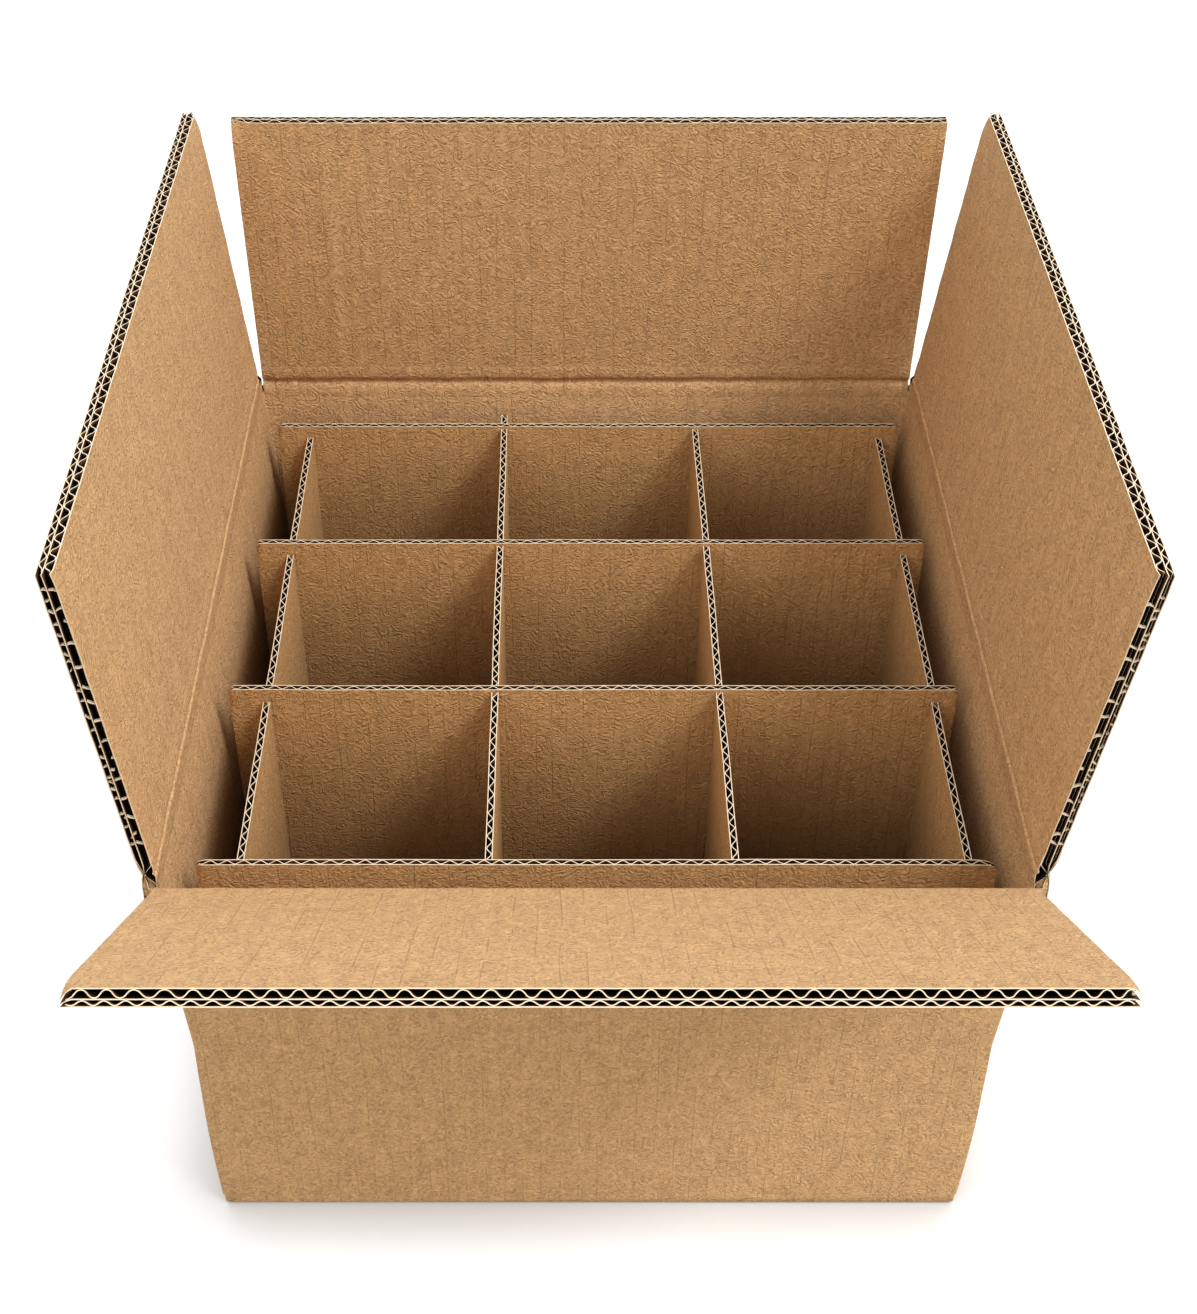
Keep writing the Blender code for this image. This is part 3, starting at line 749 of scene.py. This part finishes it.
def make_crease(side, groove, worn_ends, spread, seed):
    """The scored line at a flap's foot. worn_ends gives, for its two ends, how far in the paper is wrinkled.

    spread is how far the crushed board is squeezed out over the slots at the corners.
    """
    hinge, along_crease, _, _, lean, half = flap_frame(side)
    inward = np.cross((0, 0, 1), along_crease)
    wall_slope = end_wall_slope if side in ("front", "back") else 0.0
    left_end = graded(-half, -half + worn_ends[0], 20)
    right_end = graded(half - worn_ends[1], half, 20)
    acrosses = np.unique(np.concatenate([graded(-half, half, 90), left_end, right_end]))
    board = Board()
    for profile, sink in ((groove, -0.0003), (outer_fold, 0.0003)):
        level, height = (np.array(profile) / 1000).T
        level = level + np.clip(-straight_below - height, 0, 1) * wall_slope
        turn = np.clip((height + bend_half) / (2 * bend_half), 0, 1)
        turn = lean * turn**2 * (3 - 2 * turn)
        u, level = np.meshgrid(acrosses, level, indexing="ij")
        _, height = np.meshgrid(acrosses, height, indexing="ij")
        _, turn = np.meshgrid(acrosses, turn, indexing="ij")
        loose = np.clip(1 - np.abs(height) / loose_half, 0, 1)
        worn = np.clip(1 - (half + u) / worn_ends[0], 0, 1) + np.clip(1 - (half - u) / worn_ends[1], 0, 1)
        crumple = loose * worn**0.5 * 0.00055 * wander(u, seed, 0.0075)
        uneven = loose * 0.00018 * wander(u, seed + 2, 0.045)
        shift = loose * 0.00035 * wander(u, seed + 4, 0.06)
        notes = np.stack([u, height, np.full(u.shape, 0.003), np.zeros(u.shape)], axis=-1)

        def place(depth):
            flat_level = level + uneven + crumple + depth
            flat_height = height + shift + 0.6 * crumple
            out = (flat_level * np.cos(turn) - flat_height * np.sin(turn))[..., None]
            rise = (flat_level * np.sin(turn) + flat_height * np.cos(turn))[..., None]
            wide = u * (1 + spread / half * np.clip(1 - np.abs(height) / 0.0095, 0, 1))
            return hinge + wide[..., None] * along_crease + out * inward + rise * np.array((0, 0, 1))

        present = np.ones((len(acrosses) - 1, len(profile) - 1), bool)
        board.sheet(place(0), place(sink), notes, present, FACE, FACE)
    if side in ("left", "right"):
        add_wall_edges(board, hinge, inward)
    crease = board.make(f"{side}_crease", (kraft_liner, inside_flutes, cut_edge))
    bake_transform(crease)


make_crease("front", stretched_groove, (0.010, 0.010), 0.0035, 3)
make_crease("back", upright_groove, (0.045, 0.025), 0.0, 5)
make_crease("left", side_groove, (0.012, 0.012), 0.0, 8)
make_crease("right", side_groove, (0.012, 0.012), 0.0, 11)

# The partition: eight sheets of single-wall board, slotted halfway and pushed into each other.
# The long ones run from left to right and take the cross ones in slots from below.
sheet_half = 0.0015
sheet_pitch = 0.0067
sheet_liner = 0.00036
sheet_medium = 0.00034
slot_half = 0.0019
slot_clearance = 0.0003
plain_end = (0.0026, 0.0026)
worn_end = (0.0040, 0.0014)
torn_end = (0.0090, 0.0042)
front_tab_drop = 0.0120
back_tab_drops = (0.0030, 0.0, 0.0100, 0.0030)
sheet_tone = (0.575, 0.344, 0.150)

kraft_partition = kraft("partition_liner", sheet_tone, sheet_pitch, 0.30)


def make_sheet(name, along, places, from_top, seed, ends=(plain_end, plain_end), tab_drops=(0.0, 0.0)):
    """One sheet of the partition. along is 0 or 1, for a sheet that runs in X or in Y, slotted at places.

    ends gives how long and how far each upper corner is worn round, and tab_drops how much lower each end is.
    """
    low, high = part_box(name)
    middle = (low + high) / 2
    length = high[along] - low[along]
    height = high.z - low.z
    half = length / 2
    slot_edges = []
    for place in places:
        slot_edges += [place - middle[along] - slot_half, place - middle[along] + slot_half]
    slot_end = halfway - low.z + (-slot_clearance if from_top else slot_clearance)

    def gone(u, w):
        inside = np.zeros(u.shape, bool)
        for first, last in zip(slot_edges[::2], slot_edges[1::2]):
            inside |= (u > first) & (u < last)
        return inside & ((w > slot_end) if from_top else (w < slot_end))

    def shape(u, y, w):
        mouth = np.minimum(height - w, half - np.abs(u))
        # The last note drives painted shade, deeper down the sheet.
        notes = np.stack([u, height - w, mouth, height - w], axis=-1)
        top = np.clip((w - (height - 0.02)) / 0.02, 0, 1)
        lowered = np.where(u < slot_edges[0] + slot_half, tab_drops[0], 0.0)
        lowered = np.where(u > slot_edges[-1] - slot_half, tab_drops[1], lowered)
        w = np.where(w > slot_end, w - (w - slot_end) * lowered / (height - slot_end), w)
        for sign, (reach, drop) in zip((-1, 1), ends):
            past = np.clip((sign * u - (half - reach)) / reach, 0, 1)
            w = w - drop * (1 - np.sqrt(1 - past**2)) * top
            y = y * (1 - 0.7 * past**2 * top)
        w = w - 0.00012 * (1 + wander(u, seed, 0.05)) * (w / height)
        y = y + 0.00014 * wander(u, seed + 2, 0.17) * (w / height)
        point = np.empty(u.shape + (3,))
        point[..., along] = middle[along] + u
        point[..., 1 - along] = middle[1 - along] + y
        point[..., 2] = low.z + w
        return point, notes

    board = Board()
    downs = [graded(0, slot_end, 5), graded(slot_end, height - 0.012, 6), height - graded(0.01, 0, 5)]
    downs = np.unique(np.concatenate(downs))
    left_end = -half + graded(0, ends[0][0], 7)
    right_end = half - graded(0, ends[1][0], 7)
    between = graded(-half + 0.010, half - 0.010, 56)
    acrosses = np.unique(np.concatenate([left_end, between, right_end, slot_edges]))
    low_inner, high_inner = sheet_liner - sheet_half, sheet_half - sheet_liner
    add_liner(board, -sheet_half, low_inner, acrosses, downs, shape, FACE, HOLLOW, gone)
    add_liner(board, high_inner, sheet_half, acrosses, downs, shape, HOLLOW, FACE, gone)
    fluted = (-half + 0.3 * ends[0][0], half - 0.3 * ends[1][0])
    add_flutes(
        board, low_inner, high_inner, sheet_medium, sheet_pitch, 0.0011 * seed, 1.1, fluted, downs, shape,
        gone, slot_edges,
    )
    sheet = board.make(f"{name}_board", (kraft_partition, inside_flutes, cut_edge))
    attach(sheet, "carton")
    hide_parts(name)


def middle_of(name, axis):
    low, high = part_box(name)
    return (low[axis] + high[axis]) / 2


columns = [middle_of(f"cross_divider_{number}", 0) for number in range(1, 5)]
rows = [middle_of(f"long_divider_{number}", 1) for number in range(1, 5)]
long_low, long_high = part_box("long_divider_1")
halfway = (long_low.z + long_high.z) / 2
for number in range(1, 5):
    row_ends = (worn_end, torn_end) if number == 1 else (plain_end, plain_end)
    make_sheet(f"long_divider_{number}", 0, columns, False, number, row_ends)
    drops = (front_tab_drop, back_tab_drops[number - 1])
    make_sheet(f"cross_divider_{number}", 1, rows, True, number + 6, tab_drops=drops)
